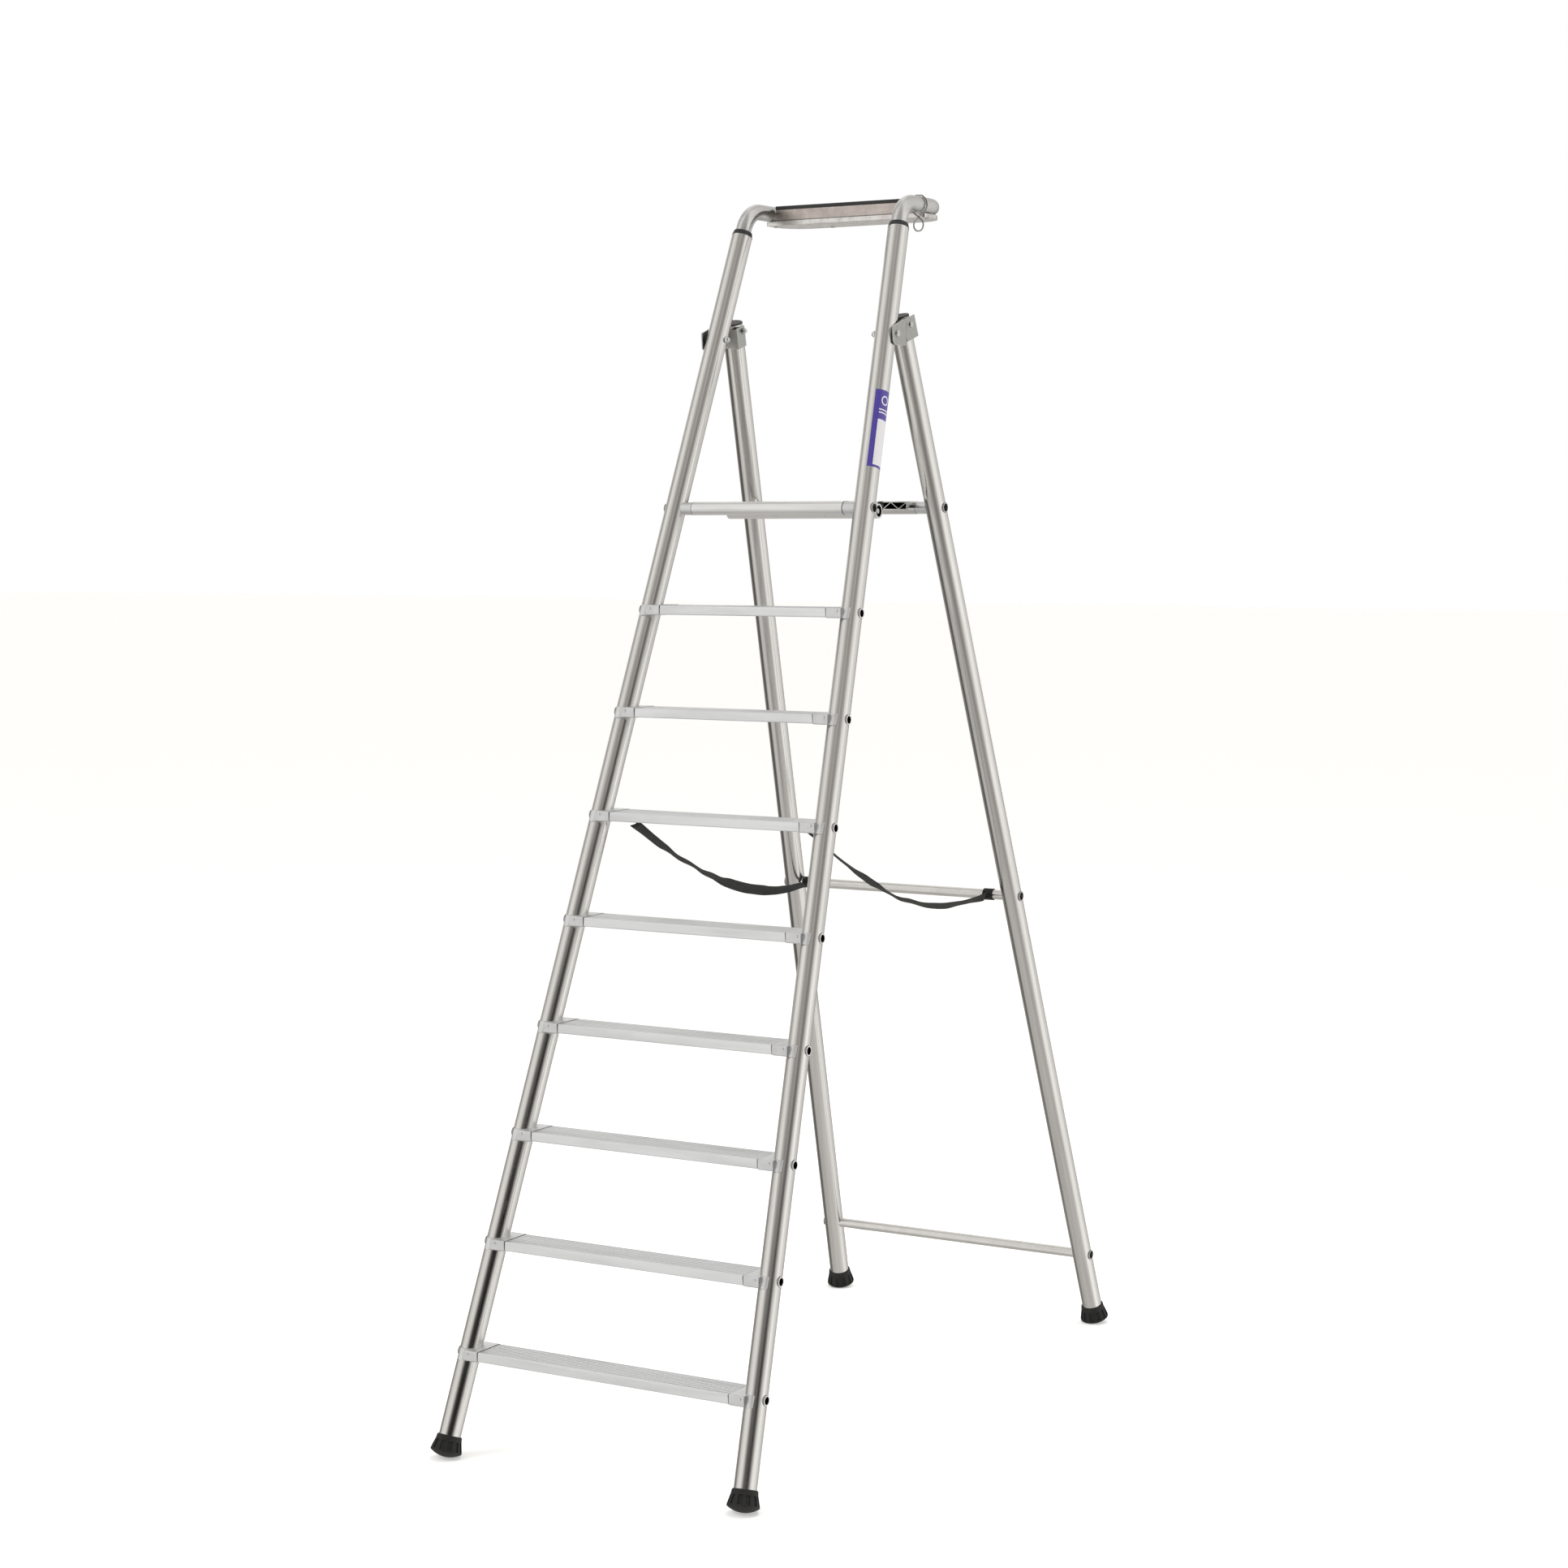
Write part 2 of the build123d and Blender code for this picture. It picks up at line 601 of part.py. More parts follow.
def make_sleeve():
    y = rear_y(REAR_BAR_Z)
    sleeve = x_rod(-PLATFORM_HALF, PLATFORM_HALF, y, REAR_BAR_Z, BEAD_R)
    return sleeve - x_rod(-220, 220, y, REAR_BAR_Z, BAR_R + RUNNING)


def make_mid_pin():
    pin = x_rod(-PLATFORM_HALF + 2, PLATFORM_HALF - 2, MID_HINGE_Y, MID_HINGE_Z, PIN_R)
    return pin


def end_spacer(y, z, leg_low, leg_high, half):
    """The bush that keeps the platform off the inner side of a leg."""
    spacer = x_rod(PLATFORM_HALF + 0.5, half, y, z, SPACER_R)
    spacer -= rod(leg_low, leg_high, TUBE_R + FIT)
    return spacer - x_rod(PLATFORM_HALF - 1, half + 1, y, z, BAR_R + FIT)


# Straps -------------------------------------------------------------------------------------

def strap_route(side):
    """Hand-placed points of a strap from under the sixth tread to the middle rear crossbar."""
    if side > 0:
        return [
            (238, 556, 1393), (240, 655, 1339), (242, 765, 1284), (244, 890, 1227),
            (246, 1012, 1187), (248, 1142, 1161), (249, 1282, 1150), (250, 1417, 1156),
        ]
    return [
        (-216, 532, 1393), (-223, 640, 1340), (-231, 760, 1279), (-241, 890, 1231),
        (-251, 1030, 1187), (-260, 1160, 1164), (-267, 1290, 1153), (-272, 1417, 1156),
    ]


def make_strap(side):
    points = [Vector(*p) for p in strap_route(side)]
    radii = []
    for a, b, c in zip(points, points[1:], points[2:]):
        turn = math.radians((b - a).get_angle(c - b))
        run = min((b - a).length, (c - b).length)
        radii.append(0.45 * run / math.tan(turn / 2))
    path = FilletPolyline(*points, radius=radii)
    plane = Plane(origin=points[0], z_dir=points[1] - points[0])
    strap = sweep(plane * Circle(STRAP_R), path=path)
    expected = math.pi * STRAP_R**2 * path.length
    print(f"strap {side:+d}: length {path.length:.0f} mm, radii {[round(r) for r in radii]}")
    print(f"  volume {strap.volume:.0f} against section x length {expected:.0f}")
    return strap


def make_strap_loop(side):
    """The sewn loop of webbing round the middle rear crossbar."""
    y, x = rear_y(MID_BAR_Z), strap_route(side)[-1][0]
    x0, x1 = x - STRAP_WIDTH / 2, x + STRAP_WIDTH / 2
    outer_r = BAR_R + 0.2 + LOOP_T
    loop = x_rod(x0, x1, y, MID_BAR_Z, outer_r)
    tail = block((x0, x1), (y - 21.5, y - 9), (MID_BAR_Z - 5, MID_BAR_Z - 1))
    return loop + tail - x_rod(x0 - 1, x1 + 1, y, MID_BAR_Z, BAR_R + 0.2)


def make_strap_anchor(side):
    """The folded end of a strap with its plate and rivet under the sixth tread."""
    z = FIRST_TREAD_Z + 5 * TREAD_PITCH
    x, low = strap_route(side)[0][0], z - TREAD_BELOW
    y = front_y(z) + TIE_R + 6
    fold = block((x - 13, x + 13), (y - 3, y + 22), (low - 4.2, low - 0.1))
    plate = block((x - 15, x + 15), (y + 2, y + 16), (low - 6, low - 4.1))
    return fold + plate + rod((x, y + 9, low - 4), (x, y + 9, low - 8), 4)


# Build --------------------------------------------------------------------------------------

def main():
    os.makedirs("parts", exist_ok=True)
    stile = make_stile()
    save("stile_right", stile)
    save("stile_left", left_of(stile))
    ties = []
    for i, z in enumerate(tread_heights()):
        save(f"tread_{i + 1}", make_tread(z))
        save(f"tread_caps_{i + 1}", pair(make_tread_cap(z)))
        ties.append(cross_tube(front_half(z), front_y(z), z, TIE_R, TIE_WALL))
    save("tread_tie_tubes", ties)
    save("tread_cap_rivets", [s for z in tread_heights() for s in pair(cap_rivet(z))])
    platform_y = front_y(PLATFORM_Z)
    save(
        "platform_tie_tube",
        cross_tube(front_half(PLATFORM_Z), platform_y, PLATFORM_Z, BAR_R, BAR_WALL),
    )
    front_spacer = end_spacer(
        platform_y, PLATFORM_Z, front_point(2000), front_point(2250), front_half(PLATFORM_Z)
    )
    save("platform_front_spacers", pair(front_spacer))
    collar = make_collar()
    save("stile_collar_right", collar)
    save("stile_collar_left", left_of(collar))
    save("handrail", make_handrail())
    save("tool_tray", make_tray())
    save("tray_trim", make_tray_trim())
    save("tray_rivets", make_tray_rivets())
    save("bucket_hook", make_bucket_hook())
    save("side_label", make_label())
    save("pivot_bolts", pair(make_pivot_bolt()))
    save("pivot_nuts", pair(make_pivot_nut()))
    save("pivot_spacers", pair(make_pivot_spacer()))
    front_foot = make_foot(front_point(0), front_point(100))
    save("foot_front_right", front_foot)
    save("foot_front_left", left_of(front_foot))
    rear_foot = make_foot(rear_point(0), rear_point(100))
    save("foot_rear_right", rear_foot)
    save("foot_rear_left", left_of(rear_foot))
    leg = make_rear_leg()
    save("rear_leg_right", leg)
    save("rear_leg_left", left_of(leg))
    save("rear_leg_caps", pair(make_leg_cap()))
    save("crossbar_low", rear_bar(LOW_BAR_Z))
    save("crossbar_middle", rear_bar(MID_BAR_Z))
    save("crossbar_platform", rear_bar(REAR_BAR_Z))
    bracket = make_bracket()
    save("hinge_bracket_right", bracket)
    save("hinge_bracket_left", left_of(bracket))
    save("bracket_bolts", pair(make_leg_bolt()))
    save("bracket_nuts", pair(make_leg_nut()))
    save("platform_sleeve", make_sleeve())
    rear_spacer = end_spacer(
        rear_y(REAR_BAR_Z), REAR_BAR_Z, rear_point(2000), rear_point(2250), rear_half(REAR_BAR_Z)
    )
    save("platform_rear_spacers", pair(rear_spacer))
    save("platform_front_panel", make_platform_front())
    save("platform_rear_panel", make_platform_rear())
    save("platform_hinge_pin", make_mid_pin())
    for side, name in ((1, "right"), (-1, "left")):
        save(f"strap_{name}", make_strap(side))
        save(f"strap_loop_{name}", make_strap_loop(side))
        save(f"strap_anchor_{name}", make_strap_anchor(side))


main()
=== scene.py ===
import math

import bmesh
import bpy
from mathutils import Matrix, Vector


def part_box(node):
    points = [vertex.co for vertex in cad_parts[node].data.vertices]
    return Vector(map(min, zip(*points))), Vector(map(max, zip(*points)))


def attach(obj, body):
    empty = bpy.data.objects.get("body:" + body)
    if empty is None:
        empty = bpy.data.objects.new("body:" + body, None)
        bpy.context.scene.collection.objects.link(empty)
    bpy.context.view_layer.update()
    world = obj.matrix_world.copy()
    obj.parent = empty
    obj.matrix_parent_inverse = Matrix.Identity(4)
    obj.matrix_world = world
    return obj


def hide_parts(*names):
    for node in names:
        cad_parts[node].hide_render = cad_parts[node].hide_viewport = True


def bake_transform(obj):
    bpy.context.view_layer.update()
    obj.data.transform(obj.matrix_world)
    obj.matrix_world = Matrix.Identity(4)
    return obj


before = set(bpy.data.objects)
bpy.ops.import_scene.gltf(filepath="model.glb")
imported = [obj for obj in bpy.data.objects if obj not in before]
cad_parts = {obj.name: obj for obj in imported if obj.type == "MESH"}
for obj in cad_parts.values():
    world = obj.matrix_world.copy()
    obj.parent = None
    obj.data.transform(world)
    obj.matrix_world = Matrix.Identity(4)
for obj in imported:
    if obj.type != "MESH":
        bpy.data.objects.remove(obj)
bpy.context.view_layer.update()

# Metres, in the row frame: X across, Y the way the climber faces, Z up.

# Camera ------------------------------------------------------------------------------------

CAMERA_PLACE = (3.6875, -6.3226, 2.1043)
CAMERA_YAW = 30.459
CAMERA_PITCH = -4.974
CAMERA_ROLL = -0.176
CAMERA_LENS = 70.5
SENSOR = 36.0


def make_camera():
    yaw, pitch, roll = (math.radians(a) for a in (CAMERA_YAW, CAMERA_PITCH, CAMERA_ROLL))
    ahead = Vector((-math.sin(yaw) * math.cos(pitch), math.cos(yaw) * math.cos(pitch),
                    math.sin(pitch)))
    right = Vector((math.cos(yaw), math.sin(yaw), 0))
    up = right.cross(ahead)
    tilted_right = right * math.cos(roll) + up * math.sin(roll)
    tilted_up = up * math.cos(roll) - right * math.sin(roll)
    data = bpy.data.cameras.new("camera")
    data.lens, data.sensor_width = CAMERA_LENS, SENSOR
    data.clip_end = 200
    camera = bpy.data.objects.new("camera", data)
    bpy.context.scene.collection.objects.link(camera)
    camera.matrix_world = Matrix((
        (tilted_right.x, tilted_up.x, -ahead.x, CAMERA_PLACE[0]),
        (tilted_right.y, tilted_up.y, -ahead.y, CAMERA_PLACE[1]),
        (tilted_right.z, tilted_up.z, -ahead.z, CAMERA_PLACE[2]),
        (0, 0, 0, 1),
    ))
    bpy.context.scene.camera = camera


make_camera()


# Sizes of the ladder -----------------------------------------------------------------------

# At height z a stile's middle is at x = STILE_HALF - STILE_TAPER * z on its side, and at
# y = STILE_SLOPE * z - MID_DEPTH. The rear legs taper in X in the same way.
MID_DEPTH = 0.901493
STILE_HALF, STILE_TAPER, STILE_SLOPE = 0.3912, 0.0633, 0.3678
REAR_HALF, REAR_TAPER = 0.3822, 0.0595
TUBE_R = 0.025

# Height of the first tread's tie tube, and of each next one above the last.
FIRST_TREAD = 0.226
TREAD_PITCH = 0.237
# Depth below a tie tube at which the next lower tread's range begins.
TREAD_REACH_DOWN = 0.1
TREAD_TOP = 0.0125
# Half length of a tread between its end caps, carried down to the floor.
TREAD_END = 0.3447
CAP_JOINT = 0.0016
# Ribs on a tread's top, across its depth, and the heights between which they are drawn.
RIB_START, RIB_PITCH, RIB_WIDE = 0.0295, 0.0115, 0.0036
RIB_HEIGHTS = (TREAD_TOP - 0.004, TREAD_TOP + 0.002)

PLATFORM_HALF = 0.2055
PLATFORM_JOINT = 0.0012
PLATFORM_END_SKIN = 0.0006
# Heights of the hollow in a platform half, and the solid rims round it.
PLATFORM_HOLLOW = (2.1221, 2.1374)
FRONT_RIM, MIDDLE_RIM, REAR_RIM = 0.0346, 0.0385, 0.004
# The pin between the platform's halves, in Y and Z, and the recess round its end.
HINGE = (0.042507, 2.117)
HINGE_RECESS_R = 0.0136

# Flared ends of the cross tubes: how far past the leg's middle they begin, and their radii.
EYE_START = 0.0205
EYE_RIM = 0.0115
EYE_BORE = 0.0088

# Heights above the tray's lowest point between which its folded seam runs.
TRAY_SEAM = (0.0105, 0.013)

STRAP_WIDTH = 0.026
STRAP_THICK = 0.0016


# Node helpers ------------------------------------------------------------------------------

# Cosines of the angle between a rounded and a true normal, on a flat face and on an edge.
FACE_COSINE, EDGE_COSINE = 0.995, 0.9


class Nodes:
    """Short calls for building one material's node tree."""

    def __init__(self, name):
        self.material = bpy.data.materials.new(name)
        self.material.use_nodes = True
        self.tree = self.material.node_tree
        self.shader = self.tree.nodes["Principled BSDF"]

    def set(self, **values):
        for name, value in values.items():
            socket = self.shader.inputs[name.replace("_", " ")]
            socket.default_value = (*value, 1) if isinstance(value, tuple) else value

    def add(self, kind, **settings):
        node = self.tree.nodes.new(kind)
        for name, value in settings.items():
            setattr(node, name, value)
        return node

    def link(self, source, target):
        self.tree.links.new(source, target)

    def feed(self, node, **inputs):
        """Set or link inputs by name, or by number as i0, i1 and so on."""
        for name, value in inputs.items():
            by_number = name[0] == "i" and name[1:].isdigit()
            socket = node.inputs[int(name[1:]) if by_number else name.replace("_", " ")]
            if isinstance(value, bpy.types.NodeSocket):
                self.link(value, socket)
            else:
                socket.default_value = value
        return node

    def math(self, operation, a, b=0.0, clamp=False):
        node = self.add("ShaderNodeMath", operation=operation, use_clamp=clamp)
        self.feed(node, i0=a, i1=b)
        return node.outputs[0]

    def object_point(self):
        return self.add("ShaderNodeTexCoord").outputs["Object"]

    def turned(self, axis, scale):
        """Object coordinates turned so that Z runs along axis, then scaled."""
        turn = Vector(axis).rotation_difference(Vector((0, 0, 1))).to_euler()
        rotate = self.add("ShaderNodeMapping", vector_type="POINT")
        self.feed(rotate, Vector=self.object_point(), Rotation=tuple(turn))
        stretch = self.add("ShaderNodeMapping", vector_type="POINT")
        self.feed(stretch, Vector=rotate.outputs[0], Scale=tuple(scale))
        return stretch.outputs[0]

    def noise(self, vector, scale, detail=3.0, roughness=0.5):
        node = self.add("ShaderNodeTexNoise")
        self.feed(node, Vector=vector, Scale=scale, Detail=detail, Roughness=roughness)
        return node.outputs["Fac"]

    def range(self, value, low, high, to_low, to_high):
        node = self.add("ShaderNodeMapRange", clamp=True)
        self.feed(node, Value=value, From_Min=low, From_Max=high, To_Min=to_low, To_Max=to_high)
        return node.outputs[0]

    def mix(self, factor, a, b):
        node = self.add("ShaderNodeMix", data_type="RGBA")
        sockets = (node.inputs[0], node.inputs[6], node.inputs[7])
        for socket, value in zip(sockets, (factor, a, b)):
            if isinstance(value, bpy.types.NodeSocket):
                self.link(value, socket)
            elif isinstance(value, tuple):
                socket.default_value = (*value, 1)
            else:
                socket.default_value = value
        return node.outputs[2]

    def bump(self, height, strength, distance, rounded=0.0):
        """Surface relief, over corners that are rounded by the given radius."""
        node = self.add("ShaderNodeBump")
        self.feed(node, Height=height, Strength=strength, Distance=distance)
        if rounded:
            bevel = self.add("ShaderNodeBevel", samples=4)
            self.feed(bevel, Radius=rounded)
            self.link(bevel.outputs[0], node.inputs["Normal"])
        return node.outputs[0]

    def edges(self, radius):
        """1 on corners and edges within the radius, 0 on faces."""
        bevel = self.add("ShaderNodeBevel", samples=4)
        self.feed(bevel, Radius=radius)
        dot = self.add("ShaderNodeVectorMath", operation="DOT_PRODUCT")
        self.link(bevel.outputs[0], dot.inputs[0])
        self.link(self.add("ShaderNodeNewGeometry").outputs["True Normal"], dot.inputs[1])
        return self.range(dot.outputs["Value"], FACE_COSINE, EDGE_COSINE, 0, 1)

    def xyz(self, vector=None):
        split = self.add("ShaderNodeSeparateXYZ")
        self.feed(split, Vector=self.object_point() if vector is None else vector)
        return split.outputs

    def reach(self, a, b):
        """The length of a two-part offset."""
        return self.math("SQRT", self.math("ADD", self.math("MULTIPLY", a, a),
                                           self.math("MULTIPLY", b, b)))

    def band(self, value, low, high):
        """1 where the value is between low and high."""
        above = self.math("GREATER_THAN", value, low)
        return self.math("MULTIPLY", above, self.math("LESS_THAN", value, high))

    def wire(self, **sockets):
        for name, source in sockets.items():
            self.link(source, self.shader.inputs[name.replace("_", " ")])


# Materials ---------------------------------------------------------------------------------

TUBE_TONE = (0.80, 0.79, 0.77)
# Painted highlight along the edges of extruded parts.
EDGE_HIGHLIGHT = (0.93, 0.93, 0.92)
# Dirt in joints, and painted shade in grooves, hollows and recesses.
DIRT_AND_SHADE = (0.05, 0.05, 0.05)


def brushed_aluminium(name, axis, tone=TUBE_TONE, rough=0.2):
    """Extruded tube: fine draw lines along its axis, faint clouding and handling marks."""
    n = Nodes(name)
    n.set(Metallic=1.0, IOR=1.5)
    lines = n.noise(n.turned(axis, (1, 1, 0.004)), 900, 2, 0.6)
    bands = n.noise(n.turned(axis, (1, 1, 0.02)), 140, 2, 0.5)
    clouds = n.noise(n.object_point(), 9, 4, 0.6)
    marks = n.noise(n.turned(axis, (1, 1, 0.25)), 60, 5, 0.7)
    darker = tuple(c * 0.86 for c in tone)
    shade = n.mix(n.range(bands, 0.3, 0.7, 0, 1), darker, tone)
    shade = n.mix(n.range(clouds, 0.55, 0.8, 0, 0.35), shade, tuple(c * 0.9 for c in tone))
    spots = n.range(marks, 0.62, 0.78, 0.0, 0.12)
    roughness = n.math("ADD", n.range(lines, 0.3, 0.7, rough - 0.05, rough + 0.07), spots)
    n.wire(Base_Color=shade, Roughness=roughness, Normal=n.bump(lines, 0.07, 0.0002))
    return n.material


def extrusion_finish(n, tone, rough, dark):
    """Satin extruded metal with lines along X, edges painted lighter as a highlight, and dirt in
    joints with painted shade in grooves and hollows where dark is 1.
    """
    n.set(Metallic=1.0)
    lines = n.noise(n.turned((1, 0, 0), (1, 1, 0.004)), 700, 2, 0.6)
    grain = n.noise(n.object_point(), 420, 4, 0.7)
    smears = n.noise(n.turned((1, 0, 0), (1, 1, 0.12)), 26, 4, 0.6)
    shade = n.mix(n.range(smears, 0.4, 0.75, 0, 1), tone, tuple(c * 0.9 for c in tone))
    # Painted highlight: edges lightened towards a pale tone.
    shade = n.mix(n.math("MULTIPLY", n.edges(0.0015), 0.6), shade, EDGE_HIGHLIGHT)
    # Painted shade in grooves and hollows, and dirt in joints, where dark is 1.
    shade = n.mix(dark, shade, DIRT_AND_SHADE)
    roughness = n.math("ADD", n.range(lines, 0.3, 0.7, rough - 0.06, rough + 0.06),
                       n.range(smears, 0.5, 0.8, 0, 0.12))
    height = n.math("ADD", lines, n.math("MULTIPLY", grain, 0.5))
    n.wire(Base_Color=shade, Roughness=roughness, Normal=n.bump(height, 0.18, 0.0003, 0.0006))


def rise_on_tread(n, z):
    """The height above the tie tube of the tread that the point is on."""
    above = n.math("SUBTRACT", z, FIRST_TREAD - TREAD_REACH_DOWN)
    return n.math("SUBTRACT", n.math("MODULO", above, TREAD_PITCH), TREAD_REACH_DOWN)


def tread_extrusion(name):
    """Treads: bright rib crests between grooves painted darker as shade on top, dirt in the end
    joints.
    """
    n = Nodes(name)
    x, y, z = n.xyz()
    rise = rise_on_tread(n, z)
    facing = n.xyz(n.add("ShaderNodeNewGeometry").outputs["Normal"])[2]
    lean = n.math("MULTIPLY", n.math("SUBTRACT", z, rise), STILE_SLOPE)
    back = n.math("SUBTRACT", n.math("ADD", y, MID_DEPTH), lean)
    within = n.math("MODULO", n.math("ADD", back, RIB_START), RIB_PITCH)
    # Painted shade: grooves between the ribs on the top are darkened.
    groove = n.math("MULTIPLY", n.band(within, 0.0, RIB_PITCH - RIB_WIDE),
                    n.math("GREATER_THAN", facing, 0.6))
    groove = n.math("MULTIPLY", groove, n.band(rise, *RIB_HEIGHTS))
    reach = n.math("ADD", n.math("ABSOLUTE", x), n.math("MULTIPLY", z, STILE_TAPER))
    joint = n.math("MULTIPLY", n.math("GREATER_THAN", reach, TREAD_END - CAP_JOINT), 0.85)
    dark = n.math("MAXIMUM", n.math("MULTIPLY", groove, 0.32), joint)
    extrusion_finish(n, (0.95, 0.965, 0.985), 0.42, dark)
    return n.material


def platform_extrusion(name, hollow):
    """Platform panels: the hollow inside and the hinge recess painted black as shade, bright cut
    ends, dark joints with their end spacers.
    """
    n = Nodes(name)
    x, y, z = n.xyz()
    side = n.math("ABSOLUTE", x)
    behind_end = n.math("LESS_THAN", side, PLATFORM_HALF - PLATFORM_END_SKIN)
    # Painted shade: the hollow inside the panel, behind its end skin, is painted black.
    inside = n.math("MULTIPLY", n.band(y, *hollow), n.band(z, *PLATFORM_HOLLOW))
    inside = n.math("MULTIPLY", inside, behind_end)
    joint = n.math("MULTIPLY", n.math("GREATER_THAN", side, PLATFORM_HALF - PLATFORM_JOINT),
                   n.math("LESS_THAN", y, hollow[0]))
    # Painted shade: the recess round the hinge pin is painted black.
    radius = n.reach(n.math("SUBTRACT", y, HINGE[0]), n.math("SUBTRACT", z, HINGE[1]))
    recess = n.math("MULTIPLY", n.math("LESS_THAN", radius, HINGE_RECESS_R), behind_end)
    dark = n.math("MAXIMUM", n.math("MAXIMUM", inside, recess), n.math("MULTIPLY", joint, 0.9))
    extrusion_finish(n, (0.92, 0.92, 0.91), 0.36, dark)
    return n.material


def eyed_tube(name, half, taper, centre):
    """A cross tube whose flared eyes are painted bright as a highlight, with a painted shadow round
    the rim and painted shade in the bore.

    half and taper give the leg's middle in X, and centre(n, y, z) the offset from the axis.
    """
    n = Nodes(name)
    n.set(Metallic=1.0)
    x, y, z = n.xyz()
    dy, dz = centre(n, y, z)
    radius = n.reach(dy, dz)
    end = n.math("ADD", n.math("ABSOLUTE", x), n.math("MULTIPLY", z, taper))
    eye = n.math("GREATER_THAN", end, half + EYE_START)
    rim = n.math("MULTIPLY", eye, n.math("GREATER_THAN", radius, EYE_RIM))
    bore = n.math("MULTIPLY", eye, n.math("LESS_THAN", radius, EYE_BORE))
    lines = n.noise(n.turned((1, 0, 0), (1, 1, 0.004)), 900, 2, 0.6)
    clouds = n.noise(n.object_point(), 30, 4, 0.6)
    shade = n.mix(n.range(clouds, 0.4, 0.75, 0, 1), TUBE_TONE, (0.72, 0.71, 0.69))
    # Painted highlight: the flared eye is made pale.
    shade = n.mix(eye, shade, (0.98, 0.98, 0.97))
    # Painted shadow: a dark ring round the eye's rim.
    shade = n.mix(n.math("MULTIPLY", rim, 0.75), shade, (0.1, 0.1, 0.1))
    # Painted shade: the bore is made nearly black.
    shade = n.mix(n.math("MULTIPLY", bore, 0.97), shade, (0.02, 0.015, 0.012))
    n.wire(Base_Color=shade, Roughness=n.range(lines, 0.3, 0.7, 0.2, 0.32),
           Normal=n.bump(lines, 0.05, 0.0002))
    return n.material


def tread_eye(n, y, z):
    """The offset from the nearest tread's tie tube, in Y and Z."""
    rise = rise_on_tread(n, z)
    lean = n.math("MULTIPLY", n.math("SUBTRACT", z, rise), STILE_SLOPE)
    return n.math("SUBTRACT", y, n.math("SUBTRACT", lean, MID_DEPTH)), rise


def cast_alloy(name):
    """Die-cast end caps: light grey and slightly grainy, with edges painted brighter as a highlight.
    """
    n = Nodes(name)
    n.set(Metallic=1.0)
    grain = n.noise(n.object_point(), 650, 4, 0.7)
    cloud = n.noise(n.object_point(), 40, 3, 0.5)
    shade = n.mix(n.range(cloud, 0.35, 0.7, 0, 1), (0.84, 0.85, 0.86), (0.75, 0.76, 0.77))
    # Painted highlight: edges lightened towards white.
    shade = n.mix(n.math("MULTIPLY", n.edges(0.0016), 0.7), shade, (0.98, 0.98, 0.98))
    n.wire(Base_Color=shade, Roughness=n.range(grain, 0.3, 0.7, 0.34, 0.5),
           Normal=n.bump(grain, 0.2, 0.0004, 0.0008))
    return n.material


def tray_sheet(name, floor, fascia):
    """Mill-finished sheet: the tall fascia above its seam is a little browner than the pan.

    floor is the height of the tray's lowest point, and fascia the tone of the upper sheet.
    """
    n = Nodes(name)
    n.set(Metallic=1.0)
    lines = n.noise(n.turned((1, 0, 0), (1, 1, 0.01)), 500, 2, 0.5)
    prints = n.noise(n.object_point(), 55, 5, 0.65)
    long_bands = n.noise(n.turned((1, 0, 0), (1, 1, 0.06)), 70, 3, 0.6)
    z = n.xyz()[2]
    seam_low, seam_high = (floor + height for height in TRAY_SEAM)
    upper = n.math("GREATER_THAN", z, seam_high)
    seam = n.band(z, seam_low, seam_high)
    shade = n.mix(upper, (0.86, 0.85, 0.84), (0.55, 0.48, 0.45))
    shade = n.mix(n.range(long_bands, 0.35, 0.65, 0, 0.5), shade, fascia)
    shade = n.mix(n.range(prints, 0.4, 0.7, 0, 0.35), shade, (0.46, 0.42, 0.4))
    shade = n.mix(n.math("MULTIPLY", seam, 0.75), shade, (0.06, 0.055, 0.05))
    n.wire(Base_Color=shade, Roughness=n.range(prints, 0.35, 0.75, 0.24, 0.42),
           Normal=n.bump(lines, 0.1, 0.0003, 0.0008))
    return n.material


def zinc_plate(name, tone=(0.56, 0.57, 0.55), rough=0.36):
    """Zinc-plated steel: faint spangle, with edges and creases painted brighter as a highlight."""
    n = Nodes(name)
    n.set(Metallic=1.0)
    cell = n.add("ShaderNodeTexVoronoi")
    n.feed(cell, Vector=n.object_point(), Scale=220.0)
    grain = n.noise(n.object_point(), 300, 4, 0.6)
    shade = n.mix(n.range(cell.outputs["Distance"], 0.0, 0.6, 0, 1), tone,
                  tuple(c * 0.88 for c in tone))
    # Painted highlight: edges and creases lightened.
    shade = n.mix(n.math("MULTIPLY", n.edges(0.0022), 0.9), shade, (0.95, 0.95, 0.94))
    n.wire(Base_Color=shade, Roughness=n.range(grain, 0.3, 0.7, rough - 0.08, rough + 0.1),
           Normal=n.bump(grain, 0.12, 0.0003, 0.0012))
    return n.material


def moulded(name, tone, rough, grain_scale, strength):
    """Moulded rubber or plastic with a fine grain, paler dust, and edges painted paler as a
    highlight.
    """
    n = Nodes(name)
    n.set(Metallic=0.0, IOR=1.5)
    grain = n.noise(n.object_point(), grain_scale, 4, 0.6)
    dust = n.noise(n.object_point(), 70, 5, 0.7)
    pale = tuple(min(1, c * 3 + 0.02) for c in tone)
    shade = n.mix(n.range(dust, 0.5, 0.8, 0, 0.35), tone, pale)
    # Painted highlight: edges lightened to the pale tone.
    shade = n.mix(n.math("MULTIPLY", n.edges(0.0012), 0.6), shade, pale)
    n.wire(Base_Color=shade, Roughness=n.range(dust, 0.3, 0.8, rough - 0.06, rough + 0.18),
           Normal=n.bump(grain, strength, 0.0005, 0.0008))
    return n.material


# Spacing of the webbing's ribs, of its cross threads and of its herringbone.
RIB_SPACING, PICK_SPACING, HERRINGBONE_SPACING = 0.0022, 0.0026, 0.004


